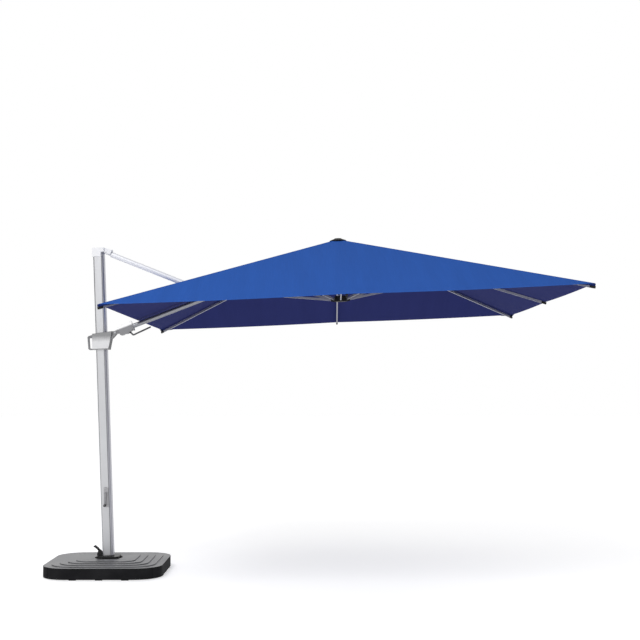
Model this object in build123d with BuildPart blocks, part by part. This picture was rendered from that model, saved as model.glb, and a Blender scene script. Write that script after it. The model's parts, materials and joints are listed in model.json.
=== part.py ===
from build123d import *

import os
from math import atan2, cos, degrees, hypot, radians, sin

os.makedirs("parts", exist_ok=True)

# Cantilever parasol. Millimetres, +Z up, origin on the ground under the turning axis.
# The base stands level. Everything above the turntable is drawn upright and then
# leaned back from the canopy by LEAN_DEG about the top of the base.
LEAN_DEG = 2.455
LEAN_Z = 100.0
LEAN = Location((0, 0, LEAN_Z)) * Rotation(0, -LEAN_DEG, 0) * Location((0, 0, -LEAN_Z))

# Ballast base
BASE_HALF = 485.0
BASE_CORNER = 220.0
SKIRT_Z = 6.0
RIM_Z = 95.0
TERRACES = 5
PLATEAU_HALF = 245.0
PLATEAU_Z = 119.0
COVER_WALL = 4.0
SEAM_GAP = 2.0
HUB_HOLE_R = 116.0
BAR_W = 80.0
BAR_H = 30.0
BAR_HALF = 555.0
SLAB_TOP = 84.0

# Turntable
HOUSING_R = 62.0
HOUSING_TOP = 117.0
FLANGE_R = 108.0
FLANGE_T = 10.0
BOLT_CIRCLE = 88.0
BOLT_R = 6.0
SPINDLE_R = 30.0
PLATE_HALF = 94.0
PLATE_Z = 122.0
PLATE_T = 13.0

# Mast
MAST_X = 88.0
MAST_Y = 100.0
MAST_CORNER = 16.0
MAST_WALL = 3.0
MAST_FOOT = 140.0
MAST_TOP = 2712.0
GROOVE_X = 27.0
FIT = 0.05

# Boom, strut and crown
BOOM_PIVOT = (118.0, 2000.0)
BOOM_DEG = 18.74
BOOM_R = 19.5
BOOM_LEN = 1961.0
BOOM_WALL = 2.0
STRUT_PIVOT = (65.0, 2686.0)
STRUT_DEG = -24.105
STRUT_R = 22.5
STRUT_LEN = 980.36
CROWN_X = 2037.5

# Canopy and ribs
HALF = 1750.0
RIM_W = 2108.0
APEX_W = 2716.0
CLOTH = 0.8
RIB_PIVOT_R = 60.0
RIB_PIVOT_W = 2682.0
RIB_W = 12.0
RIB_H = 18.0
CAP_LEN = 43.0
MID_DEG = 19.2
MID_LEN = 1789.0
CORNER_DEG = 14.0
CORNER_LEN = 2489.0
CORNER_ARM = 914.0
MID_ARM = 936.9
BOOM_ARM = 921.7
STAY_DROP = 23.0
BOOM_STAY_DROP = 34.0
STAY_T = 10.0
STAY_H = 17.0
RUNNER_R = 65.0
RUNNER_W = 2200.0
RIBS = {
    "right": 0,
    "back_right": 45,
    "back": 90,
    "back_left": 135,
    "front_left": 225,
    "front": 270,
    "front_right": 315,
}

UPRIGHT = Plane.XZ


def save(piece, name, leaned=True):
    """Labels a finished piece, leans it with the mast and writes it to its own STEP."""
    if leaned:
        piece = piece.moved(LEAN)
    piece.label = name
    export_step(piece, f"parts/{name}.step")


def along(start, angle, distance, side=0.0):
    """A point of the upright plane, distance along a line at angle and side to its left."""
    a = radians(angle)
    return (
        start[0] + distance * cos(a) - side * sin(a),
        start[1] + distance * sin(a) + side * cos(a),
    )


def line_plane(start, angle):
    """The upright plane with its x axis along a line that starts at a point."""
    a = radians(angle)
    return Plane(origin=(start[0], 0, start[1]), x_dir=(cos(a), 0, sin(a)), z_dir=(0, -1, 0))


def radial_plane(azimuth):
    """The vertical plane through the crown's axis: x is the radius, y the height."""
    a = radians(azimuth)
    return Plane(origin=(CROWN_X, 0, 0), x_dir=(cos(a), sin(a), 0), z_dir=(sin(a), -cos(a), 0))


def plate(plane, points, thickness, centre=0.0, mode=Mode.ADD):
    """A flat plate of polygon outline, centred on an offset of its plane."""
    with BuildSketch(plane.offset(centre)) as outline:
        Polygon(*points, align=None)
    extrude(outline.sketch, amount=thickness / 2, both=True, mode=mode)


def disc(plane, point, radius, thickness, centre=0.0, mode=Mode.ADD):
    """A round plate or hole at a point, centred on an offset of its plane."""
    with BuildSketch(plane.offset(centre)) as outline:
        with Locations(point):
            Circle(radius)
    extrude(outline.sketch, amount=thickness / 2, both=True, mode=mode)


def rounded_box(half_x, half_y, corner, low, high, mode=Mode.ADD):
    """An upright block of rounded plan about the turning axis."""
    with BuildSketch(Plane.XY.offset(low)) as outline:
        RectangleRounded(2 * half_x, 2 * half_y, corner)
    extrude(outline.sketch, amount=high - low, mode=mode)


def bar(plane, start, angle, length, height, thickness, mode=Mode.ADD):
    """A flat bar with round ends between two pivots, in its plane."""
    middle = along(start, angle, length / 2)
    with BuildSketch(plane) as outline:
        with Locations(Location((middle[0], middle[1], 0), (0, 0, angle))):
            SlotCenterToCenter(length, height)
    extrude(outline.sketch, amount=thickness / 2, both=True, mode=mode)


def terraces(inset, drop, mode=Mode.ADD):
    """The stepped dome of the base, optionally shrunk to make its hollow."""
    low = SKIRT_Z - drop
    for step in range(TERRACES):
        share = step / (TERRACES - 1)
        half = BASE_HALF + (PLATEAU_HALF - BASE_HALF) * share - inset
        corner = BASE_CORNER - 110 * share - inset
        high = RIM_Z + (PLATEAU_Z - RIM_Z) * share - drop
        rounded_box(half, half, corner, low, high, mode)
        low = high


def wedge(azimuth, gap, low, high, mode):
    """A quarter of the plan between the two diagonals, held back from them by gap."""
    far = 2 * BASE_HALF
    with BuildSketch(Plane.XY.offset(low).rotated((0, 0, azimuth))) as outline:
        Polygon((gap, 0), (far, far - gap), (far, gap - far), align=None)
    extrude(outline.sketch, amount=high - low, mode=mode)


# ---------------------------------------------------------------- ballast base
with BuildPart() as cross_frame:
    for azimuth in (45, 135):
        with BuildSketch(Plane.XY.rotated((0, 0, azimuth))):
            RectangleRounded(2 * BAR_HALF, BAR_W, 12)
        extrude(amount=BAR_H)
    with BuildSketch():
        with PolarLocations(BOLT_CIRCLE, 4, start_angle=45):
            Circle(BOLT_R + 0.5)
    extrude(amount=BAR_H, mode=Mode.SUBTRACT)
save(cross_frame.part, "cross_frame", leaned=False)

for side, azimuth in {"right": 0, "back": 90, "left": 180, "front": 270}.items():
    with BuildPart() as hollow:
        terraces(COVER_WALL, COVER_WALL)
        wedge(azimuth, SEAM_GAP + COVER_WALL * 1.5, 0, PLATEAU_Z, Mode.INTERSECT)
    with BuildPart() as ballast_cover:
        terraces(0, 0)
        wedge(azimuth, SEAM_GAP, 0, PLATEAU_Z, Mode.INTERSECT)
        add(hollow.part, mode=Mode.SUBTRACT)
        for diagonal in (45, 135):
            with BuildSketch(Plane.XY.rotated((0, 0, diagonal))):
                Rectangle(2 * BAR_HALF + 10, BAR_W + 4)
            extrude(amount=BAR_H + 1, mode=Mode.SUBTRACT)
        with BuildSketch():
            Circle(HUB_HOLE_R)
        extrude(amount=PLATEAU_Z, mode=Mode.SUBTRACT)
    save(ballast_cover.part, f"ballast_cover_{side}", leaned=False)

with BuildPart() as ballast_slabs:
    for azimuth in (0, 90, 180, 270):
        with BuildSketch(Plane.XY.offset(BAR_H)):
            RectangleRounded(2 * BASE_HALF - 24, 2 * BASE_HALF - 24, BASE_CORNER - 12)
            far = 2 * BASE_HALF
            with Locations(Location((0, 0, 0), (0, 0, azimuth))):
                Polygon((16, 0), (far, far - 16), (far, 16 - far), align=None, mode=Mode.INTERSECT)
            Circle(HUB_HOLE_R + 8, mode=Mode.SUBTRACT)
        extrude(amount=SLAB_TOP - BAR_H)
save(ballast_slabs.part, "ballast_slabs", leaned=False)

with BuildPart() as base_feet:
    with BuildSketch():
        for azimuth in (0, 90, 180, 270):
            with Locations(Location((0, 0, 0), (0, 0, azimuth))):
                with Locations((BASE_HALF - 12, -210), (BASE_HALF - 12, 0), (BASE_HALF - 12, 210)):
                    SlotOverall(60, 20, rotation=90)
    extrude(amount=SKIRT_Z)
save(base_feet.part, "base_feet", leaned=False)

with BuildPart() as bearing_housing:
    Cylinder(FLANGE_R, FLANGE_T, align=(Align.CENTER, Align.CENTER, Align.MIN))
    with Locations((0, 0, FLANGE_T)):
        Cylinder(HOUSING_R, HOUSING_TOP - BAR_H - FLANGE_T, align=(Align.CENTER, Align.CENTER, Align.MIN))
    Cylinder(SPINDLE_R + FIT, 4 * HOUSING_TOP, mode=Mode.SUBTRACT)
    with PolarLocations(BOLT_CIRCLE, 4, start_angle=45):
        Cylinder(BOLT_R + 0.5, 4 * FLANGE_T, mode=Mode.SUBTRACT)
save(bearing_housing.part.moved(Location((0, 0, BAR_H))), "bearing_housing", leaned=False)

with BuildPart() as base_bolts:
    with BuildSketch(Plane.XY.offset(4)):
        with PolarLocations(BOLT_CIRCLE, 4, start_angle=45):
            Circle(BOLT_R)
    extrude(amount=BAR_H + FLANGE_T - 4)
    with BuildSketch(Plane.XY.offset(BAR_H + FLANGE_T)):
        with PolarLocations(BOLT_CIRCLE, 4, start_angle=45):
            RegularPolygon(11, 6)
    extrude(amount=8)
save(base_bolts.part, "base_bolts", leaned=False)

# ------------------------------------------------------------- turntable, mast
with BuildPart() as foot_plate:
    with BuildSketch(Plane.XY.offset(PLATE_Z)):
        RectangleRounded(2 * PLATE_HALF, 2 * PLATE_HALF, 30)
    extrude(amount=PLATE_T)
    chamfer(foot_plate.edges().group_by(Axis.Z)[-1], 3)
    with BuildSketch(Plane.XY.offset(BAR_H + 4)):
        Circle(SPINDLE_R)
    extrude(amount=PLATE_Z - BAR_H - 4)
    with BuildSketch(Plane.XY.offset(HOUSING_TOP + 0.5)):
        Circle(SPINDLE_R + 20)
    extrude(amount=PLATE_Z - HOUSING_TOP - 0.5)
save(foot_plate.part, "foot_plate", leaned=False)

with BuildPart() as mast_socket:
    rounded_box(MAST_X / 2 - MAST_WALL - 0.4, MAST_Y / 2 - MAST_WALL - 0.4, 12, MAST_FOOT, 420)
    rounded_box(MAST_X / 2 - 9, MAST_Y / 2 - 9, 7, MAST_FOOT, 420, Mode.SUBTRACT)
save(mast_socket.part, "mast_socket")

with BuildPart() as mast_tube:
    rounded_box(MAST_X / 2, MAST_Y / 2, MAST_CORNER, MAST_FOOT, MAST_TOP)
    inner = (MAST_X / 2 - MAST_WALL, MAST_Y / 2 - MAST_WALL, MAST_CORNER - MAST_WALL)
    rounded_box(*inner, MAST_FOOT, MAST_TOP, Mode.SUBTRACT)
    for side in (-1, 1):
        with BuildSketch(Plane.XY.offset(MAST_FOOT)):
            with Locations((GROOVE_X, side * MAST_Y / 2)):
                Rectangle(7, 3)
        extrude(amount=MAST_TOP - MAST_FOOT, mode=Mode.SUBTRACT)
save(mast_tube.part, "mast_tube")

CAP_LOW = 2652.0
CHEEK_IN = 12.6
CHEEK_OUT = 38.0
with BuildPart() as mast_cap:
    head = [(-51, CAP_LOW), (-50, 2723), (-40, 2727), (50, 2727), (50, 2690), (27, 2690), (27, CAP_LOW)]
    plate(UPRIGHT, head, 112)
    fillet(mast_cap.edges().filter_by(Axis.Z).group_by(Axis.X)[0], 10)
    rounded_box(MAST_X / 2 + 0.2, MAST_Y / 2 + 0.2, MAST_CORNER, CAP_LOW, MAST_TOP + 0.4, Mode.SUBTRACT)
    ear = [(46, 2686), (49, 2726.5), (115, 2705), (101, 2667), (62, 2674)]
    for side in (-1, 1):
        plate(UPRIGHT, ear, CHEEK_OUT - CHEEK_IN, side * (CHEEK_OUT + CHEEK_IN) / 2)
    web = [(49, 2726.5), (115, 2705), (110, 2692.6), (49, 2719.5)]
    plate(UPRIGHT, web, 2 * CHEEK_OUT)
    disc(UPRIGHT, STRUT_PIVOT, 5, 4 * CHEEK_OUT, mode=Mode.SUBTRACT)
save(mast_cap.part, "mast_cap")

with BuildPart() as strut_pin:
    disc(UPRIGHT, STRUT_PIVOT, 5, 2 * CHEEK_OUT + 3)
save(strut_pin.part, "strut_pin")

# Winch boss and crank on the front face of the mast
CRANK_AXIS = (3.0, 654.0)
CRANK_DEG = 265.3
CRANK_ARM = 97.3
MAST_FRONT = MAST_Y / 2
with BuildPart() as winch_boss:
    disc(UPRIGHT, CRANK_AXIS, 17, 12, MAST_FRONT + 6)
    plate(UPRIGHT, [(-14, 541), (24, 541), (24, 692), (12, 706), (-14, 706)], 8, MAST_FRONT + 4)
    fillet(winch_boss.edges().filter_by(Axis.Y), 5)
    disc(UPRIGHT, (-1, 697), 8, 16, MAST_FRONT + 8)
    disc(UPRIGHT, CRANK_AXIS, 6 + FIT, 80, MAST_FRONT, Mode.SUBTRACT)
save(winch_boss.part, "winch_boss")

with BuildPart() as crank_arm:
    bar(UPRIGHT.offset(MAST_FRONT + 23), CRANK_AXIS, CRANK_DEG, CRANK_ARM, 16, 6)
    disc(UPRIGHT, CRANK_AXIS, 12, 7, MAST_FRONT + 16.5)
    disc(UPRIGHT, CRANK_AXIS, 6, 16, MAST_FRONT + 8)
    disc(UPRIGHT, along(CRANK_AXIS, CRANK_DEG, CRANK_ARM), 4, 34, MAST_FRONT + 41)
save(crank_arm.part, "crank_arm")

with BuildPart() as crank_knob:
    knob_at = along(CRANK_AXIS, CRANK_DEG, CRANK_ARM)
    disc(UPRIGHT, knob_at, 10, 30, MAST_FRONT + 42)
    fillet(crank_knob.edges().group_by(Axis.Y)[0], 4)
    disc(UPRIGHT, knob_at, 4 + FIT, 60, MAST_FRONT + 46, Mode.SUBTRACT)
save(crank_knob.part, "crank_knob")

# Foot pedal that unlocks the turntable
PEDAL_PIVOT = (-74.0, 166.0)
with BuildPart() as pedal_bracket:
    for side in (-1, 1):
        foot = [(-96, 135.5), (-94, 160), (-84, 178), (-66, 178), (-54, 160), (-50, 135.5)]
        plate(UPRIGHT, foot, 6, side * 17)
    disc(UPRIGHT, PEDAL_PIVOT, 4, 40)
save(pedal_bracket.part, "pedal_bracket", leaned=False)

with BuildPart() as foot_pedal:
    lever = [(-84, 150), (-66, 150), (-58, 168), (-66, 178), (-116, 214), (-124, 210), (-90, 178)]
    plate(UPRIGHT, lever, 26)
    plate(UPRIGHT, [(-88, 188), (-84, 191), (-116, 217), (-126, 212), (-123, 208)], 56)
    disc(UPRIGHT, PEDAL_PIVOT, 4 + FIT, 80, mode=Mode.SUBTRACT)
save(foot_pedal.part, "foot_pedal", leaned=False)

# ---------------------------------------------------------------------- slider
LINER = 4.0
SLIDE_GAP = 0.4
LINER_X = MAST_X / 2 + SLIDE_GAP + LINER
LINER_Y = MAST_Y / 2 + SLIDE_GAP + LINER
SLIDER_OUT = 132.0
LUG_IN = 23.0
LUG_OUT = 34.0
with BuildPart() as slider_body:
    plate(UPRIGHT, [(-72, 1862), (-70, 1996), (97, 2012), (62, 1860)], SLIDER_OUT)
    fillet(slider_body.edges().filter_by(Axis.Y, reverse=True).group_by(SortBy.LENGTH)[-1], 3)
    for side in (-1, 1):
        lug = [(66, 1940), (60, 1996), (104, 2014), (132, 2008), (134, 1994), (96, 1955)]
        plate(UPRIGHT, lug, LUG_OUT - LUG_IN, side * (LUG_OUT + LUG_IN) / 2)
    plate(UPRIGHT, [(60, 1982), (90, 1982), (140, 2060), (60, 2060)], 2 * LUG_IN, mode=Mode.SUBTRACT)
    rounded_box(LINER_X, LINER_Y, MAST_CORNER + LINER, 1800, 2100, Mode.SUBTRACT)
    disc(UPRIGHT, BOOM_PIVOT, 7, 4 * LUG_OUT, mode=Mode.SUBTRACT)
save(slider_body.part, "slider_body")

with BuildPart() as slider_liner:
    rounded_box(LINER_X, LINER_Y, MAST_CORNER + LINER, 1872, 1988)
    gap_x = MAST_X / 2 + SLIDE_GAP
    gap_y = MAST_Y / 2 + SLIDE_GAP
    rounded_box(gap_x, gap_y, MAST_CORNER + SLIDE_GAP, 1872, 1988, Mode.SUBTRACT)
save(slider_liner.part, "slider_liner")

with BuildPart() as boom_pin:
    disc(UPRIGHT, BOOM_PIVOT, 7, 2 * LUG_OUT + 6)
save(boom_pin.part, "boom_pin")

RELEASE_PIVOT = (-88.0, 1974.0)
with BuildPart() as handle_bracket:
    for side in (-1, 1):
        plate(UPRIGHT, [(-70.4, 1960), (-96, 1964), (-96, 1984), (-70.1, 1990)], 6, side * 20)
    disc(UPRIGHT, RELEASE_PIVOT, 4, 46)
save(handle_bracket.part, "handle_bracket")

with BuildPart() as release_handle:
    loop = [(-78, 1986), (-108, 1982), (-119, 1972), (-114, 1872), (-104, 1862), (-78, 1862)]
    loop += [(-78, 1873), (-98, 1875), (-101, 1880), (-104, 1958), (-98, 1964), (-78, 1966)]
    plate(UPRIGHT, loop, 32)
    fillet(release_handle.edges().filter_by(Axis.Y, reverse=True), 3)
    disc(UPRIGHT, RELEASE_PIVOT, 4 + FIT, 60, mode=Mode.SUBTRACT)
save(release_handle.part, "release_handle")

# ------------------------------------------------------------ boom and housing
BOOM = line_plane(BOOM_PIVOT, BOOM_DEG)
BOOM_LINE = Plane(origin=BOOM.origin, x_dir=(0, 1, 0), z_dir=BOOM.x_dir)
HOUSING_SIDE = 64.0
TILT_PIVOT = (118.0, -33.0)
with BuildPart() as boom_housing:
    outline = [(34, -34), (26, 20), (36, 33), (70, 40), (152, 45), (155, -20), (140, -36), (118, -38)]
    outline += [(108, -46), (88, -46), (76, -40), (58, -44), (44, -42)]
    plate(BOOM, outline, HOUSING_SIDE)
    fillet(boom_housing.edges().filter_by(Axis.Y, reverse=True), 5)
    with BuildSketch(BOOM_LINE.offset(152)):
        with Locations((0, 4)):
            RectangleRounded(74, 88, 26)
    extrude(amount=8)
    plate(BOOM, [(-2, -14), (-12, -8), (-14, 4), (-8, 13), (30, 24), (50, -20)], 2 * LUG_IN - 1)
    disc(BOOM, (0, 0), 7 + FIT, 80, mode=Mode.SUBTRACT)
    with BuildSketch(BOOM_LINE.offset(48)):
        Circle(BOOM_R + 0.1)
    extrude(amount=200, mode=Mode.SUBTRACT)
    plate(BOOM, [(96, -60), (96, -26), (150, -24), (150, -60)], 15, mode=Mode.SUBTRACT)
    disc(BOOM, TILT_PIVOT, 3, 26, mode=Mode.SUBTRACT)
save(boom_housing.part, "boom_housing")

with BuildPart() as tilt_pin:
    disc(BOOM, TILT_PIVOT, 3, 26)
save(tilt_pin.part, "tilt_pin")

with BuildPart() as tilt_lever:
    with BuildLine(BOOM) as lever_line:
        FilletPolyline((120, -42), (134, -72), (296, -61), radius=10)
    with BuildSketch(Plane(origin=lever_line.line @ 0, z_dir=lever_line.line % 0)):
        Circle(7)
    sweep(path=lever_line.line)
    plate(BOOM, [(111, -31), (125, -31), (128, -44), (124, -52), (114, -50), (110, -38)], 13)
    disc(BOOM, TILT_PIVOT, 3 + FIT, 80, mode=Mode.SUBTRACT)
save(tilt_lever.part, "tilt_lever")

TUBE_END = BOOM_LEN - 28
with BuildPart() as boom_tube:
    with BuildSketch(BOOM_LINE.offset(56)):
        Circle(BOOM_R)
        Circle(BOOM_R - BOOM_WALL, mode=Mode.SUBTRACT)
    extrude(amount=TUBE_END - 56)
save(boom_tube.part, "boom_tube")

with BuildPart() as boom_end:
    with BuildSketch(BOOM_LINE.offset(TUBE_END - 90)):
        Circle(BOOM_R - BOOM_WALL)
    extrude(amount=90)
    plate(BOOM, [(TUBE_END, -12), (BOOM_LEN, -12), (BOOM_LEN, 12), (TUBE_END, 12)], 18)
    disc(BOOM, (BOOM_LEN, 0), 12, 18)
    disc(BOOM, (BOOM_LEN, 0), 5 + FIT, 80, mode=Mode.SUBTRACT)
save(boom_end.part, "boom_end")

CLAMP_AT = BOOM_LEN - BOOM_ARM
with BuildPart() as stay_clamp:
    with BuildSketch(BOOM_LINE.offset(CLAMP_AT - 15)):
        Circle(BOOM_R + 4)
        Circle(BOOM_R, mode=Mode.SUBTRACT)
    extrude(amount=30)
    for side in (-1, 1):
        ear = [(CLAMP_AT - 11, -22), (CLAMP_AT + 11, -22), (CLAMP_AT + 8, -43), (CLAMP_AT - 8, -43)]
        plate(BOOM, ear, 4, side * 7.8)
    disc(BOOM, (CLAMP_AT, -BOOM_STAY_DROP), 3, 22)
save(stay_clamp.part, "stay_clamp")

# ----------------------------------------------------------------- upper strut
STRUT = line_plane(STRUT_PIVOT, STRUT_DEG)
STRUT_LINE = Plane(origin=STRUT.origin, x_dir=(0, 1, 0), z_dir=STRUT.x_dir)
STRUT_START = 44.0
FORK_AT = 815.0
with BuildPart() as upper_strut:
    with BuildSketch(STRUT_LINE.offset(STRUT_START)):
        Circle(STRUT_R)
        Circle(STRUT_R - 2, mode=Mode.SUBTRACT)
    extrude(amount=FORK_AT - STRUT_START)
save(upper_strut.part, "upper_strut")

with BuildPart() as strut_head:
    with BuildSketch(STRUT_LINE.offset(STRUT_START)):
        Circle(STRUT_R - 2)
    extrude(amount=60)
    plate(STRUT, [(0, -14), (STRUT_START, -14), (STRUT_START, 14), (0, 14)], 24)
    disc(STRUT, (0, 0), 14, 24)
    disc(STRUT, (0, 0), 5 + FIT, 80, mode=Mode.SUBTRACT)
save(strut_head.part, "strut_head")

with BuildPart() as strut_fork:
    with BuildSketch(STRUT_LINE.offset(FORK_AT - 50)):
        Circle(STRUT_R - 2)
    extrude(amount=50)
    plate(STRUT, [(FORK_AT, -18), (FORK_AT + 14, -18), (FORK_AT + 14, 18), (FORK_AT, 18)], 52)
    for side in (-1, 1):
        cheek = [(FORK_AT, -18), (FORK_AT + 30, -14), (STRUT_LEN, -14), (STRUT_LEN, 14)]
        cheek += [(FORK_AT + 30, 14), (FORK_AT, 18)]
        plate(STRUT, cheek, 5, side * 23.5)
        disc(STRUT, (STRUT_LEN, 0), 14, 5, side * 23.5)
        disc(STRUT, (STRUT_LEN, 0), 8, 5, side * 28.5)
save(strut_fork.part, "strut_fork")

# ----------------------------------------------------------------------- crown
CROWN_PIVOT = along(BOOM_PIVOT, BOOM_DEG, BOOM_LEN)
HUB_LOW = 2655.0
HUB_TOP = 2694.0
CROWN_LINE = Plane(origin=(CROWN_X, 0, 0))
with BuildPart() as crown_hub:
    with BuildSketch(CROWN_LINE.offset(HUB_LOW)):
        Circle(48)
    extrude(amount=HUB_TOP - HUB_LOW)
    for azimuth in RIBS.values():
        for side in (-1, 1):
            cheek = [(44, 2670), (66, 2670), (71, 2675), (71, 2688), (44, 2688)]
            plate(radial_plane(azimuth), cheek, 3.8, side * 7.6)
        disc(radial_plane(azimuth), (RIB_PIVOT_R, RIB_PIVOT_W), 3, 30, mode=Mode.SUBTRACT)
    px, pw = CROWN_PIVOT
    ear = [(px - 13, pw - 5), (px, pw - 14), (px + 13, pw - 8), (px + 40, pw + 26)]
    ear += [(px + 40, pw + 34), (px + 16, pw + 34), (px - 12, pw + 10)]
    for side in (-1, 1):
        plate(UPRIGHT, ear, 7, side * 13)
    disc(UPRIGHT, CROWN_PIVOT, 5, 60, mode=Mode.SUBTRACT)
    with BuildSketch(CROWN_LINE.offset(HUB_LOW)):
        Circle(14)
    extrude(amount=12, mode=Mode.SUBTRACT)
    with BuildSketch(CROWN_LINE.offset(HUB_TOP - 20)):
        Circle(8)
    extrude(amount=20, mode=Mode.SUBTRACT)
save(crown_hub.part, "crown_hub")

with BuildPart() as crown_pin:
    disc(UPRIGHT, CROWN_PIVOT, 5, 38)
save(crown_pin.part, "crown_pin")

with BuildPart() as rib_pins:
    for azimuth in RIBS.values():
        disc(radial_plane(azimuth), (RIB_PIVOT_R, RIB_PIVOT_W), 3, 19)
save(rib_pins.part, "rib_pins")

with BuildPart() as guide_tube:
    with BuildSketch(CROWN_LINE.offset(RUNNER_W + 4)):
        Circle(14)
        Circle(12, mode=Mode.SUBTRACT)
    extrude(amount=HUB_LOW + 12 - RUNNER_W - 4)
save(guide_tube.part, "guide_tube")

with BuildPart() as apex_cap:
    with BuildSketch(Plane(origin=(CROWN_X, 0, 0), x_dir=(1, 0, 0), z_dir=(0, -1, 0))):
        Polygon(
            (0, HUB_TOP - 20), (8, HUB_TOP - 20), (8, 2717), (72, 2700.5), (72, 2704),
            (66, 2708), (34, 2720), (30, 2724), (0, 2724), align=None,
        )
    revolve(axis=Axis((CROWN_X, 0, 0), (0, 0, 1)))
save(apex_cap.part, "apex_cap")

APEX_HOLE = 12.0
with BuildPart() as canopy:
    for drop, mode in ((0, Mode.ADD), (CLOTH, Mode.SUBTRACT)):
        slope = (APEX_W - RIM_W) / HALF
        with BuildSketch(CROWN_LINE.offset(RIM_W - drop)) as rim:
            Rectangle(2 * HALF, 2 * HALF)
        with BuildSketch(CROWN_LINE.offset(APEX_W - drop - slope * APEX_HOLE)) as top:
            Rectangle(2 * APEX_HOLE, 2 * APEX_HOLE)
        loft([rim.sketch, top.sketch], mode=mode)
    with BuildSketch(CROWN_LINE.offset(RIM_W)) as hole:
        Circle(APEX_HOLE)
    extrude(hole.sketch, amount=APEX_W - RIM_W, mode=Mode.SUBTRACT)
    with Locations((CROWN_X - 1125, 0, 2310)):
        Box(210, 130, 260, mode=Mode.SUBTRACT)
save(canopy.part, "canopy")

# ------------------------------------------------------------- ribs and stays
CHEEK = 3.0


def strip(plane, start, angle, near, far, half, thickness, mode=Mode.ADD):
    """A straight bar of square ends between two distances along a line."""
    corners = [(near, -half), (far, -half), (far, half), (near, half)]
    plate(plane, [along(start, angle, *corner) for corner in corners], thickness, mode=mode)


for name, azimuth in RIBS.items():
    is_corner = azimuth % 90 != 0
    angle = -CORNER_DEG if is_corner else -MID_DEG
    length = CORNER_LEN if is_corner else MID_LEN
    arm = CORNER_ARM if is_corner else MID_ARM
    pivot = (RIB_PIVOT_R, RIB_PIVOT_W)
    eye = along(pivot, angle, arm, -STAY_DROP)
    side_plane = radial_plane(azimuth)
    tube_end = length - CAP_LEN
    with BuildPart() as rib:
        strip(side_plane, pivot, angle, 22, tube_end, RIB_H / 2, RIB_W)
        strip(side_plane, pivot, angle, 0, 22, 8.5, 11)
        disc(side_plane, pivot, 8.5, 11)
        strip(side_plane, pivot, angle, 40, tube_end, RIB_H / 2 - 1.4, RIB_W - 2.8, Mode.SUBTRACT)
        disc(side_plane, pivot, 3 + FIT, 80, mode=Mode.SUBTRACT)
    with BuildPart() as rib_tip:
        strip(side_plane, pivot, angle, tube_end, length, RIB_H / 2 + 0.4, RIB_W + 4)
        fillet(rib_tip.edges(), 3)
    with BuildPart() as stay_fork:
        for side in (-1, 1):
            cheek = [(arm - 12, 6), (arm - 12, -12), (arm - 7, -31), (arm + 7, -31), (arm + 12, -12), (arm + 12, 6)]
            corners = [along(pivot, angle, *corner) for corner in cheek]
            plate(side_plane, corners, CHEEK, side * (RIB_W + CHEEK) / 2)
        disc(side_plane, eye, 3, RIB_W + 2 * CHEEK)
    save(Compound(children=[rib.part, rib_tip.part, stay_fork.part]), f"rib_{name}")

    foot = (RUNNER_R, RUNNER_W)
    reach = hypot(foot[0] - eye[0], foot[1] - eye[1])
    lean = degrees(atan2(foot[1] - eye[1], foot[0] - eye[0]))
    with BuildPart() as stay:
        bar(side_plane, eye, lean, reach, STAY_H, STAY_T)
        disc(side_plane, eye, 3 + FIT, 80, mode=Mode.SUBTRACT)
    save(stay.part, f"stay_{name}")

with BuildPart() as stay_boom:
    eye = along(BOOM_PIVOT, BOOM_DEG, CLAMP_AT, -BOOM_STAY_DROP)
    foot = (CROWN_X - RUNNER_R, RUNNER_W)
    reach = hypot(foot[0] - eye[0], foot[1] - eye[1])
    bar(UPRIGHT, eye, degrees(atan2(foot[1] - eye[1], foot[0] - eye[0])), reach, STAY_H, STAY_T)
    disc(UPRIGHT, eye, 3 + FIT, 80, mode=Mode.SUBTRACT)
save(stay_boom.part, "stay_boom")

with BuildPart() as runner:
    with BuildSketch(CROWN_LINE.offset(RUNNER_W - 16)):
        Circle(50)
    extrude(amount=48)
    for step in range(8):
        for side in (-1, 1):
            cheek = [(44, 2186), (76, 2186), (82, 2192), (82, 2204), (70, 2216), (44, 2220)]
            plate(radial_plane(45 * step), cheek, 3.4, side * 7.9)
    with BuildSketch(CROWN_LINE.offset(RUNNER_W - 20)):
        Circle(15.5)
    extrude(amount=80, mode=Mode.SUBTRACT)
save(runner.part, "runner")
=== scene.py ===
"""A cantilever parasol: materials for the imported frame, and the sewn canopy that folds with its ribs.

Metres, in the row's own frame. The canopy is described from the crown: out from the mast, across, and up
the leaning mast, measured from the level of the ribs' hinges.
"""
import json
import math

import bmesh
import bpy
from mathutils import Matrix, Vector


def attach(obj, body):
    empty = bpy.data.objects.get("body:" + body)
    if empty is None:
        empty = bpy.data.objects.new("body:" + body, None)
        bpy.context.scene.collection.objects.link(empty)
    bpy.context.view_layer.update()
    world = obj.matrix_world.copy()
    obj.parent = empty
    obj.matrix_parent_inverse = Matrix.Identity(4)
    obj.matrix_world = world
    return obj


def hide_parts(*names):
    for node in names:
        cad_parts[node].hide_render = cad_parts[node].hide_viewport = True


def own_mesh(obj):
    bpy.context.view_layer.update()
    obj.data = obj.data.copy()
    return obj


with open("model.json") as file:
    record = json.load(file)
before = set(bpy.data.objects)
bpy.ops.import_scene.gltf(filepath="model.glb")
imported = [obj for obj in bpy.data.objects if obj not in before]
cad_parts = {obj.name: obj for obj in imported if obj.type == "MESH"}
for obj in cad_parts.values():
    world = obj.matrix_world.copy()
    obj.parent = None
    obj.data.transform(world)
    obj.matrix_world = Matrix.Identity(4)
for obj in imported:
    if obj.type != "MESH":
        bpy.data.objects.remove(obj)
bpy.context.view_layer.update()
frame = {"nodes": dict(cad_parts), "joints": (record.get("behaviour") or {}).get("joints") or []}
JOINT = {joint["name"]: joint for joint in frame["joints"]}
NODES = frame["nodes"]

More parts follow.
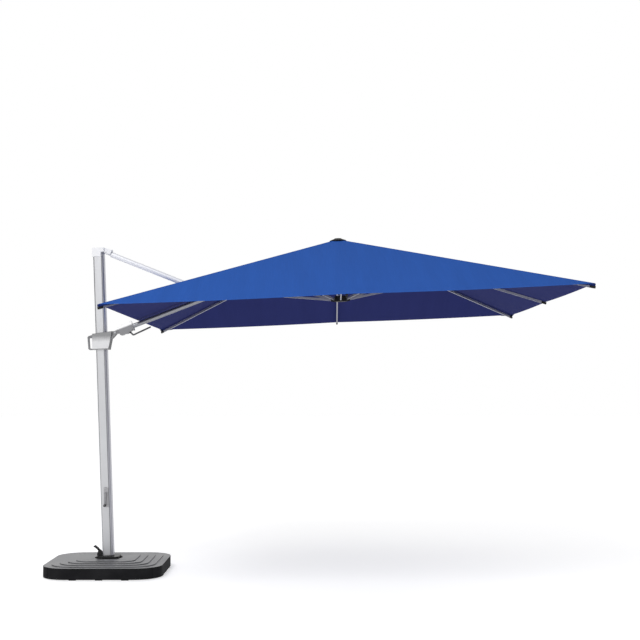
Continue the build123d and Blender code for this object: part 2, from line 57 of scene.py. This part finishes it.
# ------------------------------------------------------------------ the crown's directions
UP = Vector(JOINT["runner_travel"]["axis"])
OUT = Vector((UP.z, 0, -UP.x))
SIDE = Vector((0, 1, 0))
HUB = Vector(JOINT["rib_back_fold"]["pos_m"])
HUB.y = 0

# The canopy: half a side, heights above the ribs' hinges, the cloth, and its hem with the step up to it.
HALF = 1.75
APEX = 0.034
RIM = -0.574
SLOPE = (APEX - RIM) / HALF
SLANT = math.sqrt(1 + SLOPE**2)
APEX_HOLE = 0.014
CLOTH = 0.0008
HEM = 0.028
HEM_EXTRA = 0.0007
HEM_STEP = 0.0006

# Sag between ribs, where it is deepest down the slope, and the rim's curve. The mast side has no middle rib.
SAG = 0.010
MAST_SAG = 0.012
SAG_REACH = 0.62
SCALLOP = 0.006
MAST_SCALLOP = 0.0132
RIM_SHARPNESS = 6

# The strut's slot: from and to along OUT, half its width, and the cloth edging round it.
SLOT_FROM, SLOT_TO, SLOT_HALF = -1.195, -1.070, 0.052
EDGING = 0.014


def at(out, side, up):
    """A point given from the crown's axis at the level of the ribs' hinges."""
    return HUB + OUT * out + SIDE * side + UP * up


def middle_line(node):
    """The long direction of a straight piece, from the ends of its points."""
    points = [v.co for v in NODES[node].data.vertices]
    start = max(points, key=lambda p: (p - points[0]).length)
    end = max(points, key=lambda p: (p - start).length)
    return end - start


# ------------------------------------------------------------------ materials
def new_material(name, **constants):
    """A Principled material; constants go straight onto the shader's sockets."""
    material = bpy.data.materials.new(name)
    material.use_nodes = True
    shader = material.node_tree.nodes["Principled BSDF"]
    for socket, value in constants.items():
        shader.inputs[socket.replace("_", " ")].default_value = value
    return material, shader


class Nodes:
    """Short forms for the node links that every material here uses."""

    def __init__(self, material):
        self.tree = material.node_tree
        self.coords = self.add("ShaderNodeTexCoord").outputs["Object"]

    def add(self, kind, **settings):
        node = self.tree.nodes.new(kind)
        for key, value in settings.items():
            setattr(node, key, value)
        return node

    def link(self, source, target):
        self.tree.links.new(source, target)

    def feed(self, value, socket):
        if isinstance(value, (int, float)):
            socket.default_value = value
        elif isinstance(value, (tuple, list, Vector)):
            socket.default_value = tuple(value)
        else:
            self.link(value, socket)

    def math(self, operation, a, b=0.0, c=0.0):
        node = self.add("ShaderNodeMath", operation=operation)
        for value, socket in zip((a, b, c), node.inputs):
            self.feed(value, socket)
        return node.outputs[0]

    def dot(self, direction, offset=0.0):
        """How far a surface point lies along a direction, less an offset."""
        node = self.add("ShaderNodeVectorMath", operation="DOT_PRODUCT")
        self.link(self.coords, node.inputs[0])
        node.inputs[1].default_value = direction
        return self.math("SUBTRACT", node.outputs["Value"], offset)

    def combine(self, x, y, z):
        node = self.add("ShaderNodeCombineXYZ")
        for value, socket in zip((x, y, z), node.inputs):
            self.feed(value, socket)
        return node.outputs[0]

    def noise(self, scale, stretch=(1, 1, 1), detail=3.0, coords=None):
        mapping = self.add("ShaderNodeMapping")
        self.link(coords or self.coords, mapping.inputs["Vector"])
        mapping.inputs["Scale"].default_value = stretch
        node = self.add("ShaderNodeTexNoise")
        self.link(mapping.outputs[0], node.inputs["Vector"])
        node.inputs["Scale"].default_value = scale
        node.inputs["Detail"].default_value = detail
        return node.outputs["Fac"]

    def span(self, value, low, high, start=0.3, stop=0.7):
        """A number squeezed from start..stop into low..high."""
        node = self.add("ShaderNodeMapRange")
        self.link(value, node.inputs["Value"])
        for key, amount in zip(("From Min", "From Max", "To Min", "To Max"), (start, stop, low, high)):
            node.inputs[key].default_value = amount
        return node.outputs["Result"]

    def blend(self, factor, first, second):
        """A colour between two others."""
        node = self.add("ShaderNodeMix", data_type="RGBA")
        self.feed(factor, node.inputs[0])
        for value, socket in ((first, node.inputs[6]), (second, node.inputs[7])):
            self.feed((*value, 1.0) if isinstance(value, tuple) else value, socket)
        return node.outputs[2]

    def bump(self, height, shader, strength, distance):
        node = self.add("ShaderNodeBump")
        self.link(height, node.inputs["Height"])
        node.inputs["Strength"].default_value = strength
        node.inputs["Distance"].default_value = distance
        self.link(node.outputs[0], shader.inputs["Normal"])


# The heights between which the mast's painted shade deepens towards the foot, and how much darker the
# drawing lines are than the tube.
MAST_SPAN = (0.1, 2.75)
DRAWN_DARK = 0.94


def aluminium(name, colour, along, metallic=0.8, roughness=0.34, foot=None):
    """Satin anodised tube: fine drawing lines along it, and slow changes of tone.

    foot is the colour at floor level of painted shade that darkens the tube towards the floor."""
    material, shader = new_material(name, Metallic=metallic)
    nodes = Nodes(material)
    axis = Vector(along).normalized()
    first = axis.orthogonal().normalized()
    second = axis.cross(first)
    drawn = nodes.combine(nodes.dot(first), nodes.dot(second), nodes.dot(axis * 0.012))
    lines = nodes.noise(420.0, detail=2.0, coords=drawn)
    cloud = nodes.noise(2.2, detail=2.0)
    tone = nodes.span(nodes.math("MULTIPLY_ADD", lines, 0.5, nodes.math("MULTIPLY", cloud, 0.5)), 0.0, 1.0)
    body = nodes.blend(tone, tuple(c * DRAWN_DARK for c in colour), colour)
    # Painted shade: below the span's top the colour darkens towards foot.
    if foot:
        low = nodes.blend(tone, tuple(c * DRAWN_DARK for c in foot), foot)
        body = nodes.blend(nodes.span(nodes.dot(UP), 0.0, 1.0, *MAST_SPAN), low, body)
    nodes.link(body, shader.inputs["Base Color"])
    nodes.link(nodes.span(lines, roughness - 0.05, roughness + 0.06), shader.inputs["Roughness"])
    nodes.bump(lines, shader, 0.05, 0.0001)
    return material


def moulded(name, colour, grain=900.0, roughness=0.45, depth=0.00015, wear=0.12, metallic=0.0, gloss=0.35):
    """Moulded plastic or powder coat: a fine grain and soft patches of wear."""
    material, shader = new_material(name, Metallic=metallic, Specular_IOR_Level=gloss)
    nodes = Nodes(material)
    pits = nodes.noise(grain, detail=1.0)
    patches = nodes.noise(7.0, detail=4.0)
    worn = tuple(min(1.0, c * (1 + wear) + wear * 0.02) for c in colour)
    nodes.link(nodes.blend(nodes.span(patches, 0.0, 1.0), colour, worn), shader.inputs["Base Color"])
    nodes.link(nodes.span(patches, roughness - 0.05, roughness + 0.06), shader.inputs["Roughness"])
    nodes.bump(pits, shader, 0.25, depth)
    return material


def painted_shading(name, top, low, facing, level, soft, roughness=0.38, foot=None):
    """Moulded plastic with painted light and shade: two tones that meet at a level along one direction.

    foot is a second level, measured from the first, below which the top's tone comes back."""
    material, shader = new_material(name, Specular_IOR_Level=0.35)
    nodes = Nodes(material)
    height = nodes.dot(facing, level)
    pits = nodes.noise(900.0, detail=1.0)
    uneven = nodes.math("MULTIPLY_ADD", nodes.noise(60.0, detail=2.0), soft * 0.4, height)
    tone = nodes.span(uneven, 0.0, 1.0, 0.0, soft)
    body = nodes.blend(tone, low, top)
    if foot is not None:
        body = nodes.blend(nodes.math("LESS_THAN", height, foot), body, top)
    nodes.link(body, shader.inputs["Base Color"])
    nodes.link(nodes.span(pits, roughness - 0.05, roughness + 0.06), shader.inputs["Roughness"])
    nodes.bump(pits, shader, 0.25, 0.00015)
    return material


def speckled(name, dark, light, scale):
    """Cast stone or worn zinc: two tones in grains."""
    material, shader = new_material(name, Roughness=0.8)
    nodes = Nodes(material)
    grains = nodes.noise(scale, detail=6.0)
    nodes.link(nodes.blend(nodes.span(grains, 0.0, 1.0, 0.4, 0.6), dark, light), shader.inputs["Base Color"])
    nodes.bump(grains, shader, 0.4, 0.0006)
    return material


# Thread spacing of the weave; the hem's stitches, the share of each that shows, and their two rows' places.
WEAVE = 0.0011
STITCH = 0.007
STITCH_SHOWN = 0.68
THREAD_HALF = 0.0009
SEWING = (0.007, 0.021)


def cloth(name, colour, streak, outward, sheen=0.02, gloss=0.06):
    """Woven acrylic: streaks down the slope, a plain weave, and two rows of stitches in the hem.

    streak runs along the rim and outward from the crown to the rim."""
    material, shader = new_material(
        name, Roughness=0.92, Sheen_Weight=sheen, Sheen_Roughness=0.5, Specular_IOR_Level=gloss
    )
    nodes = Nodes(material)
    along = nodes.dot(streak, Vector(streak).dot(HUB))
    down = nodes.math("ABSOLUTE", nodes.dot(outward, Vector(outward).dot(HUB)))
    plane = nodes.combine(along, down, 0.0)
    broad = nodes.noise(9.0, (1.0, 0.06, 1.0), detail=4.0, coords=plane)
    slubs = nodes.noise(160.0, (1.0, 0.02, 1.0), detail=2.0, coords=plane)
    tone = nodes.math("MULTIPLY_ADD", slubs, 0.45, nodes.math("MULTIPLY", broad, 0.55))
    deep = tuple(c * 0.93 for c in colour)
    bright = tuple(min(1.0, c * 1.05) for c in colour)
    body = nodes.blend(nodes.span(tone, 0.0, 1.0, 0.36, 0.64), deep, bright)

    from_rim = nodes.math("SUBTRACT", HALF, down)
    dash = nodes.math("LESS_THAN", nodes.math("FRACT", nodes.math("DIVIDE", along, STITCH)), STITCH_SHOWN)
    rows = None
    for distance in SEWING:
        row = nodes.math("COMPARE", from_rim, distance, THREAD_HALF)
        rows = row if rows is None else nodes.math("ADD", rows, row)
    thread = nodes.math("MULTIPLY", rows, dash)
    pale = tuple(min(1.0, c * 1.5 + 0.01) for c in colour)
    nodes.link(nodes.blend(thread, body, pale), shader.inputs["Base Color"])

    warp = nodes.math("SINE", nodes.math("MULTIPLY", along, 2 * math.pi / WEAVE))
    weft = nodes.math("SINE", nodes.math("MULTIPLY", down, 2 * math.pi / WEAVE))
    crossed = nodes.math("MULTIPLY", warp, weft)
    weave = nodes.math("MULTIPLY_ADD", crossed, 0.25, nodes.math("MULTIPLY", slubs, 0.6))
    nodes.bump(nodes.math("ADD", weave, nodes.math("MULTIPLY", thread, 1.4)), shader, 0.35, 0.0004)
    return material


BLUE = (0.018, 0.093, 0.40)
# The underside's blue: the cloth's own blue darkened as painted shade.
SHADE_BLUE = (0.0178, 0.0232, 0.107)
ACROSS_MAST = (OUT.x, OUT.y, OUT.z)
TOP = {
    "front": cloth("canopy_front_cloth", BLUE, ACROSS_MAST, (0, 1, 0)),
    "side": cloth("canopy_side_cloth", BLUE, (0, 1, 0), ACROSS_MAST),
}
UNDER = {
    "front": cloth("canopy_front_underside_painted_shade", SHADE_BLUE, ACROSS_MAST, (0, 1, 0), 0.01, 0.02),
    "side": cloth("canopy_side_underside_painted_shade", SHADE_BLUE, (0, 1, 0), ACROSS_MAST, 0.01, 0.02),
}
TAPE = cloth("seam_tape_cloth", tuple(c * 0.86 for c in BLUE), ACROSS_MAST, (0, 1, 0))
# The corner flaps' cloth, darkened as painted shade where it curls down over the rib ends.
POCKET_SHADE = cloth("corner_pocket_painted_shade_cloth", (0.010, 0.020, 0.100), (0, 1, 0), ACROSS_MAST, 0.01, 0.02)

BOOM_LINE = Vector(JOINT["boom_roll"]["axis"])
BOOM_UP = BOOM_LINE.cross(SIDE)
# Painted shade on the mast: the tube and its far corners darken towards the foot.
MAST_SILVER = aluminium("mast_aluminium", (0.82, 0.825, 0.84), UP, foot=(0.54, 0.545, 0.56))
# Painted shade on the mast's side beyond the track, which faces away from the light.
MAST_SHADE = aluminium("mast_side_painted_shade", (0.46, 0.465, 0.51), UP)
MAST_EDGE = aluminium("mast_corner_shade", (0.34, 0.345, 0.37), UP, foot=(0.20, 0.205, 0.22))
# The boom's aluminium, darkened as painted shade from the canopy above it.
BOOM_SHADED = aluminium("boom_aluminium", (0.29, 0.295, 0.315), BOOM_LINE)
STRUT_SILVER = aluminium("strut_aluminium", (0.82, 0.825, 0.855), middle_line("upper_strut"), metallic=0.35,
                         roughness=0.5)
WHITE_SHELL = moulded("cap_shell", (0.84, 0.84, 0.845), roughness=0.32, wear=0.02)
HANDLE_SHELL = moulded("handle_shell", (0.20, 0.20, 0.21), roughness=0.42, wear=0.05)
SLIDER_EDGE_SHADE = moulded("slider_edge_painted_shade", (0.07, 0.07, 0.075), roughness=0.45)
DARK_SHELL = moulded("winch_plate_shell", (0.40, 0.40, 0.41), roughness=0.4, wear=0.05)
BLACK = moulded("black_plastic_grain", (0.016, 0.016, 0.017), roughness=0.6, gloss=0.12)
GRIP = moulded("grip_plastic", (0.075, 0.075, 0.08), grain=1400.0, roughness=0.5)
BLACK_METAL = moulded("black_powder_coat", (0.014, 0.014, 0.015), grain=1600.0, roughness=0.38)
COVER = moulded("ballast_cover_grain", (0.008, 0.008, 0.009), grain=420.0, roughness=0.70, depth=0.0004,
                wear=0.3, gloss=0.06)
COVER_TOP_LIT = moulded("ballast_cover_top_painted_light", (0.136, 0.136, 0.142), grain=420.0, roughness=0.36,
                    depth=0.0004, wear=0.5)
# Painted shade in the mast's groove.
TRACK_SHADE = moulded("mast_track_painted_shade", (0.20, 0.20, 0.215), roughness=0.5)
# Painted shade on the slider: dark along its top, light below, and dark again at its foot.
SLIDER_LEVEL = Vector(JOINT["release_squeeze"]["pos_m"]).dot(UP) - 0.038
SLIDER_SHELL = painted_shading("slider_painted_shade", (0.26, 0.262, 0.265), (0.67, 0.672, 0.68), tuple(UP),
                        SLIDER_LEVEL, 0.05, foot=-0.067)
# Painted light and shade on the housing: a painted highlight over its upper part, painted shade below.
HOUSING_LEVEL = Vector(JOINT["boom_swing"]["pos_m"]).dot(BOOM_UP) + 0.012
HOUSING_SHELL = painted_shading("housing_painted_light_and_shade", (0.93, 0.93, 0.93), (0.24, 0.24, 0.25), tuple(BOOM_UP),
                         HOUSING_LEVEL, 0.012)
RUBBER = moulded("foot_rubber_grain", (0.012, 0.012, 0.012), roughness=0.8)
STEEL = moulded("zinc_steel_plate", (0.55, 0.56, 0.58), grain=300.0, roughness=0.34, metallic=0.9)
CRANK_STEEL = moulded("crank_steel", (0.26, 0.26, 0.27), grain=300.0, roughness=0.4, metallic=0.7)
STONE = speckled("ballast_stone", (0.16, 0.16, 0.155), (0.42, 0.41, 0.40), 140.0)
LINER = moulded("liner_nylon", (0.62, 0.60, 0.55), roughness=0.5)

RIBS = {"right": 0, "back_right": 45, "back": 90, "back_left": 135, "front_left": 225, "front": 270,
        "front_right": 315}
RIB_COLOUR = (0.34, 0.345, 0.40)
RIB_ROUGHNESS = 0.42
RIB_SILVER = aluminium("rib_aluminium", RIB_COLOUR, UP, roughness=RIB_ROUGHNESS)

BY_NODE = {
    "mast_tube": MAST_SILVER, "boom_tube": BOOM_SHADED, "boom_end": BOOM_SHADED,
    "upper_strut": STRUT_SILVER, "guide_tube": RIB_SILVER,
    "strut_head": WHITE_SHELL, "strut_fork": WHITE_SHELL, "mast_cap": WHITE_SHELL,
    "slider_body": SLIDER_SHELL, "boom_housing": HOUSING_SHELL,
    "handle_bracket": HANDLE_SHELL, "release_handle": HANDLE_SHELL, "tilt_lever": GRIP,
    "winch_boss": DARK_SHELL, "crank_arm": CRANK_STEEL, "crank_knob": BLACK, "foot_pedal": BLACK,
    "stay_clamp": BLACK, "crown_hub": BLACK, "apex_cap": BLACK, "runner": BLACK,
    "foot_plate": BLACK_METAL, "pedal_bracket": BLACK_METAL, "cross_frame": BLACK_METAL,
    "bearing_housing": BLACK_METAL, "base_feet": RUBBER, "ballast_slabs": STONE, "slider_liner": LINER,
    "mast_socket": STEEL, "base_bolts": STEEL, "crown_pin": STEEL, "rib_pins": STEEL,
    "strut_pin": STEEL, "tilt_pin": STEEL, "boom_pin": STEEL,
}
for node, piece in NODES.items():
    if node.startswith("ballast_cover"):
        material = COVER
    elif node.startswith(("rib_", "stay_")) and node not in BY_NODE:
        material = aluminium(node + "_aluminium", RIB_COLOUR, middle_line(node), roughness=RIB_ROUGHNESS)
    else:
        material = BY_NODE.get(node, RIB_SILVER)
    piece.data.materials.clear()
    piece.data.materials.append(material)

# ------------------------------------------------------------------ faces with painted light and shade
# Painted light on the ballast cover: its top faces get a lighter copy of its grain.
COVER_RIM = 0.095
COVER_FACES_UP = 0.35
for node, piece in NODES.items():
    if node.startswith("ballast_cover"):
        piece.data.materials.append(COVER_TOP_LIT)
        for face in piece.data.polygons:
            if face.normal.z > COVER_FACES_UP or face.center.z > COVER_RIM:
                face.material_index = 1

# Painted shade on the slider's rounded edges and on its side turned to the boom.
TURNED = 0.25
FACES_BOOM = 0.3
slider = NODES["slider_body"].data
slider.materials.append(SLIDER_EDGE_SHADE)
for face in slider.polygons:
    rounded = abs(face.normal.z) > TURNED and abs(face.normal.y) > TURNED
    if rounded or face.normal.x > FACES_BOOM:
        face.material_index = 1

# On the mast's section: painted shade in the tracks in its two faces, on the side beyond them, and on the
# far corners.
MAST_MIDDLE = Vector((0, 0, 0.1)).dot(OUT)
TRACK_OUT = 0.027
TRACK_HALF = 0.0036
TRACK_FLOOR, MAST_FACE = 0.0475, 0.0499
SHADE_OUT = TRACK_OUT + 0.0030
EDGE_OUT = -0.036
CORNER_ACROSS = 0.042
mast = NODES["mast_tube"].data
for material in (TRACK_SHADE, MAST_SHADE, MAST_EDGE):
    mast.materials.append(material)
for face in mast.polygons:
    from_middle = face.center.dot(OUT) - MAST_MIDDLE
    across = abs(face.center.y)
    if abs(from_middle - TRACK_OUT) < TRACK_HALF and TRACK_FLOOR < across < MAST_FACE:
        face.material_index = 1
    # The far corners and the side beyond the track take painted shade.
    elif from_middle < EDGE_OUT and across > CORNER_ACROSS:
        face.material_index = 3
    elif from_middle > SHADE_OUT or from_middle < EDGE_OUT:
        face.material_index = 2

# ------------------------------------------------------------------ black end caps on the ribs
TIP = 0.044
for name in RIBS:
    tube = NODES["rib_" + name].data
    hinge = Vector(JOINT[f"rib_{name}_fold"]["pos_m"])
    tip_from = max((v.co - hinge).length for v in tube.vertices) - TIP
    tube.materials.append(BLACK)
    for face in tube.polygons:
        if (face.center - hinge).length > tip_from:
            face.material_index = 1

# ------------------------------------------------------------------ the canopy
STEPS_DOWN = 44
STEPS_ACROSS = 12


def direction(azimuth):
    """Where a rib's line meets the unit square, as (out, side)."""
    c, s = math.cos(math.radians(azimuth)), math.sin(math.radians(azimuth))
    size = max(abs(c), abs(s))
    return c / size, s / size


def cloth_height(out, side):
    """The cloth's outer face above the hinges: a pyramid that sags a little between its ribs."""
    reach = max(abs(out), abs(side))
    if reach < 1e-6:
        return APEX
    share = reach / HALF
    ratio = min(abs(out), abs(side)) / reach
    if out < 0 and abs(out) >= abs(side):
        sag = MAST_SAG * (1 - ratio**2)
    else:
        sag = SAG * 4 * ratio * (1 - ratio)
    return APEX - SLOPE * reach - sag * math.sin(math.pi * min(1.0, share) * SAG_REACH)


def pull_in(out, side):
    """How much nearer to the crown the rim comes between two ribs."""
    reach = max(abs(out), abs(side))
    ratio = min(abs(out), abs(side)) / reach
    if out < 0 and abs(out) >= abs(side):
        return 1 - MAST_SCALLOP * (1 - ratio**2) / HALF
    return 1 - SCALLOP * 4 * ratio * (1 - ratio) / HALF


def gore_rows():
    """Shares of the way from the crown to the rim, with the hem's own rows at the end."""
    first = APEX_HOLE / HALF
    last = 1 - HEM / HALF
    rows = [first + (last - first) * i / STEPS_DOWN for i in range(STEPS_DOWN + 1)]
    return rows + [last + HEM_STEP, 1 - HEM / HALF / 2, 1.0]


def link(name, data):
    """Puts a mesh, camera or light in the scene under a name."""
    piece = bpy.data.objects.new(name, data)
    bpy.context.scene.collection.objects.link(piece)
    return piece


def strip_of(bm, rows):
    """Faces between rows of points."""
    grid = [[bm.verts.new(point) for point in row] for row in rows]
    for upper, lower in zip(grid, grid[1:]):
        for i in range(len(upper) - 1):
            bm.faces.new((upper[i], lower[i], lower[i + 1], upper[i + 1]))


def shell(name, bm, thickness, *materials):
    """Turns a surface to face up, gives it its thickness, and puts it in the scene."""
    bmesh.ops.recalc_face_normals(bm, faces=bm.faces)
    if sum(f.normal.dot(UP) for f in bm.faces) < 0:
        bmesh.ops.reverse_faces(bm, faces=bm.faces)
    bmesh.ops.solidify(bm, geom=bm.faces[:], thickness=thickness)
    mesh = bpy.data.meshes.new(name)
    bm.to_mesh(mesh)
    bm.free()
    for material in materials:
        mesh.materials.append(material)
    return link(name, mesh)


def near_slot(place, margin):
    """Whether a place, measured from the hub, is in the slot or within a margin of it."""
    return SLOT_FROM - margin < place.dot(OUT) < SLOT_TO + margin and abs(place.y) < SLOT_HALF + margin


def cut_slot(bm):
    """Opens the slot in the mast side, where the upper strut comes through."""
    stations = (SLOT_FROM - EDGING, SLOT_FROM, SLOT_TO, SLOT_TO + EDGING)
    cuts = [(at(out, 0, 0), OUT) for out in stations]
    cuts += [(at(0, sign * side, 0), SIDE) for sign in (-1, 1) for side in (SLOT_HALF, SLOT_HALF + EDGING)]
    for plane, normal in cuts:
        geometry = bm.verts[:] + bm.edges[:] + bm.faces[:]
        bmesh.ops.bisect_plane(bm, geom=geometry, plane_co=plane, plane_no=normal, dist=1e-5)
    inside = [face for face in bm.faces if near_slot(face.calc_center_median() - HUB, 0.0)]
    bmesh.ops.delete(bm, geom=inside, context="FACES")


def gore(name, start, stop, face):
    """The cloth between two lines from the crown, as a thin closed shell."""
    a, b = direction(start), direction(stop)
    rows = []
    for share in gore_rows():
        row = []
        for i in range(STEPS_ACROSS + 1):
            mix = i / STEPS_ACROSS
            out, side = a[0] + (b[0] - a[0]) * mix, a[1] + (b[1] - a[1]) * mix
            inward = 1 - (1 - pull_in(out, side)) * share**RIM_SHARPNESS
            out, side = out * HALF * share * inward, side * HALF * share * inward
            extra = HEM_EXTRA if share > 1 - HEM / HALF + HEM_STEP / 2 else 0.0
            row.append(at(out, side, cloth_height(out, side) + extra))
        rows.append(row)
    bm = bmesh.new()
    strip_of(bm, rows)
    if stop == 180:
        cut_slot(bm)
    piece = shell(name, bm, CLOTH, TOP[face], UNDER[face], POCKET_SHADE)
    # Faces turned down take the underside's painted shade; those round the slot take the corner flaps'
    # colour.
    for polygon in piece.data.polygons:
        polygon.material_index = 1 if polygon.normal.dot(UP) < -0.5 else 0
        if near_slot(polygon.center - HUB, EDGING):
            polygon.material_index = 2
    return piece


def rib_line(name):
    """The direction of the cloth's line above a rib, from the crown to the rim."""
    out, side = direction(RIBS[name])
    return (at(out * HALF, side * HALF, RIM) - at(0, 0, APEX)).normalized()


# Each rib carries a panel on either side; each row also holds keep, a share of the panel's width.
KEEP_MID = 0.11
KEEP_CORNER = 0.12
KEEP_MAST = 0.085
HALF_GORE = 22.5
PANELS = []
for name, azimuth in RIBS.items():
    corner = azimuth % 90 != 0
    for sign in (-1, 1):
        mast_side = name.endswith("_left") and (sign == 1) == (name == "back_left")
        stop = 180 if mast_side else azimuth + sign * HALF_GORE
        middle = math.radians((azimuth + stop) / 2)
        face = "side" if abs(math.cos(middle)) > abs(math.sin(middle)) else "front"
        keep = KEEP_MAST if mast_side else KEEP_CORNER if corner else KEEP_MID
        PANELS.append((name, azimuth, stop, face, keep, "a" if sign < 0 else "b"))

# The taped seams: half their width, their thickness and height over the cloth, and where they start.
TAPE_HALF = 0.011
TAPE_THICK = 0.0006
TAPE_LIFT = 0.0009
TAPE_EDGE_LIFT = 0.0002
TAPE_FROM = 0.085
TAPE_STEPS = 60
TAPE_SECTION = (
    (-1.0, TAPE_EDGE_LIFT), (-0.9, TAPE_LIFT), (0.0, TAPE_LIFT), (0.9, TAPE_LIFT), (1.0, TAPE_EDGE_LIFT)
)

# The corner flaps: their length along an edge, their drop at the corner, and how they stand off the hem.
FLAP_THICK = 0.0008
FLAP_LIFT = 0.0004
FLAP_ALONG = 0.115
FLAP_DROP = 0.017
FLAP_STEPS = 8
FLAP_DOWN = (0.0, 0.35, 0.7, 1.0)
FLAP_OFF = 0.0012
FLAP_BOW = 0.002


def seam_tape(name):
    """The taped seam over a corner rib, from the cap to the corner."""
    azimuth = math.radians(RIBS[name])
    c, s = math.cos(azimuth), math.sin(azimuth)
    reach = HALF * math.sqrt(2) - TAPE_HALF * 1.5
    rows = []
    for i in range(TAPE_STEPS + 1):
        r = TAPE_FROM + (reach - TAPE_FROM) * i / TAPE_STEPS
        row = []
        for t, lift in TAPE_SECTION:
            out, side = r * c - t * TAPE_HALF * s, r * s + t * TAPE_HALF * c
            row.append(at(out, side, cloth_height(out, side) + lift))
        rows.append(row)
    bm = bmesh.new()
    strip_of(bm, rows)
    return shell(f"seam_tape_{name}", bm, TAPE_THICK, TAPE)


def corner_flap(name, face, letter):
    """One wing of the flap that hangs over the rib's end cap, along one edge from its corner."""
    out_sign, side_sign = (round(v) for v in direction(RIBS[name]))
    rows = []
    for part in FLAP_DOWN:
        bow = 1 + (FLAP_OFF + FLAP_BOW * math.sin(math.pi * part)) / HALF
        row = []
        for i in range(FLAP_STEPS + 1):
            away = i / FLAP_STEPS * FLAP_ALONG
            out, side = (HALF, HALF - away) if face == "side" else (HALF - away, HALF)
            drop = FLAP_DROP * (1 - i / FLAP_STEPS) ** 1.2 + FLAP_OFF
            height = cloth_height(out, side) - drop * part + FLAP_LIFT
            row.append(at(out * out_sign * bow, side * side_sign * bow, height))
        rows.append(row)
    bm = bmesh.new()
    strip_of(bm, rows)
    return shell(f"corner_flap_{name}_{letter}", bm, FLAP_THICK, POCKET_SHADE)


tapes = {}
for name, azimuth in RIBS.items():
    if azimuth % 90:
        tapes[name] = seam_tape(name)
        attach(tapes[name], "rib_" + name)
        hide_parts("canopy")

for name, start, stop, face, keep, letter in PANELS:
    panel = gore(f"canopy_{name}_{letter}", start, stop, face)
    pieces = [panel]
    if name in tapes:
        pieces.append(corner_flap(name, face, letter))
    facing = direction(round((start + stop) / 180) * 90)
    fall = OUT * facing[0] + SIDE * facing[1] - UP * SLOPE
    normal = fall.cross(UP.cross(fall)).normalized()
    across = normal.cross(rib_line(name)).normalized()
    for piece in pieces:
        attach(piece, "rib_" + name)
        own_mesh(piece)
        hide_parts("canopy")
    a, b = direction(start), direction(stop)
    area = abs(a[0] * b[1] - a[1] * b[0]) / 2 * HALF**2 * SLANT
    if stop == 180:
        area -= (SLOT_TO - SLOT_FROM) * SLOT_HALF * SLANT

# ------------------------------------------------------------------ camera, light and floor
CAMERA_AT = (1.7115, -10.0607, 1.5152)
CAMERA_TILT = (math.pi / 2 + 0.05931, 0, -0.005945)
camera = link("camera", bpy.data.cameras.new("camera"))
camera.data.lens = 66.71
camera.data.sensor_width = 36.0
camera.location = CAMERA_AT
camera.rotation_euler = CAMERA_TILT
bpy.context.scene.camera = camera

bpy.context.scene.view_settings.view_transform = "Standard"
world = bpy.data.worlds.new("studio")
bpy.context.scene.world = world
world.use_nodes = True

# A white studio, greyer on the camera's side and weaker to the left and right. The camera sees plain white.
NEAR_GREY = (0.62, 0.62, 0.63, 1)
WHITE = (1, 1, 1, 1)
WHITE_FROM = 0.55
SIDE_FALL = {"From Min": 0.35, "From Max": 0.85, "To Min": 1.0, "To Max": 0.15}
sky = world.node_tree
backdrop = sky.nodes["Background"]
towards = sky.nodes.new("ShaderNodeTexCoord")
split = sky.nodes.new("ShaderNodeSeparateXYZ")
sky.links.new(towards.outputs["Generated"], split.inputs[0])
ramp = sky.nodes.new("ShaderNodeValToRGB")
sky.links.new(split.outputs["Y"], ramp.inputs["Fac"])
for stop, place, colour in zip(ramp.color_ramp.elements, (0.0, WHITE_FROM), (NEAR_GREY, WHITE)):
    stop.position = place
    stop.color = colour
sideways = sky.nodes.new("ShaderNodeMath")
sideways.operation = "ABSOLUTE"
sky.links.new(split.outputs["X"], sideways.inputs[0])
falloff = sky.nodes.new("ShaderNodeMapRange")
falloff.interpolation_type = "SMOOTHSTEP"
sky.links.new(sideways.outputs[0], falloff.inputs["Value"])
for key, amount in SIDE_FALL.items():
    falloff.inputs[key].default_value = amount
sky.links.new(falloff.outputs["Result"], backdrop.inputs["Strength"])
sky.links.new(ramp.outputs[0], backdrop.inputs["Color"])
plain = sky.nodes.new("ShaderNodeBackground")
plain.inputs["Color"].default_value = WHITE
seen = sky.nodes.new("ShaderNodeLightPath")
choice = sky.nodes.new("ShaderNodeMixShader")
sky.links.new(seen.outputs["Is Camera Ray"], choice.inputs[0])
sky.links.new(backdrop.outputs[0], choice.inputs[1])
sky.links.new(plain.outputs[0], choice.inputs[2])
sky.links.new(choice.outputs[0], sky.nodes["World Output"].inputs["Surface"])


def soft_light(name, place, target, size, power):
    """A large square light turned to a point."""
    data = bpy.data.lights.new(name, "AREA")
    data.size, data.energy = size, power
    lamp = link(name, data)
    lamp.location = place
    lamp.rotation_euler = (Vector(target) - Vector(place)).to_track_quat("-Z", "Y").to_euler()


soft_light("key", (-1.5, -7.0, 8.5), (1.5, 0, 1.5), 4.0, 420)

# A pale paper floor with a little light of its own, so that it meets the white without a line.
FLOOR_HALF = 60.0
FLOOR_GLOW = 0.50
bm = bmesh.new()
bmesh.ops.create_grid(bm, x_segments=1, y_segments=1, size=FLOOR_HALF)
floor_mesh = bpy.data.meshes.new("floor")
bm.to_mesh(floor_mesh)
bm.free()
floor = link("floor", floor_mesh)
floor_material, floor_shader = new_material("floor_paper", Roughness=0.9)
floor_nodes = Nodes(floor_material)
paper = floor_nodes.span(floor_nodes.noise(3.0), 0.0, 1.0)
floor_tone = floor_nodes.blend(paper, (0.88, 0.88, 0.88), (0.90, 0.90, 0.90))
floor_nodes.link(floor_tone, floor_shader.inputs["Base Color"])
floor_shader.inputs["Emission Color"].default_value = WHITE
floor_shader.inputs["Emission Strength"].default_value = FLOOR_GLOW
floor_mesh.materials.append(floor_material)
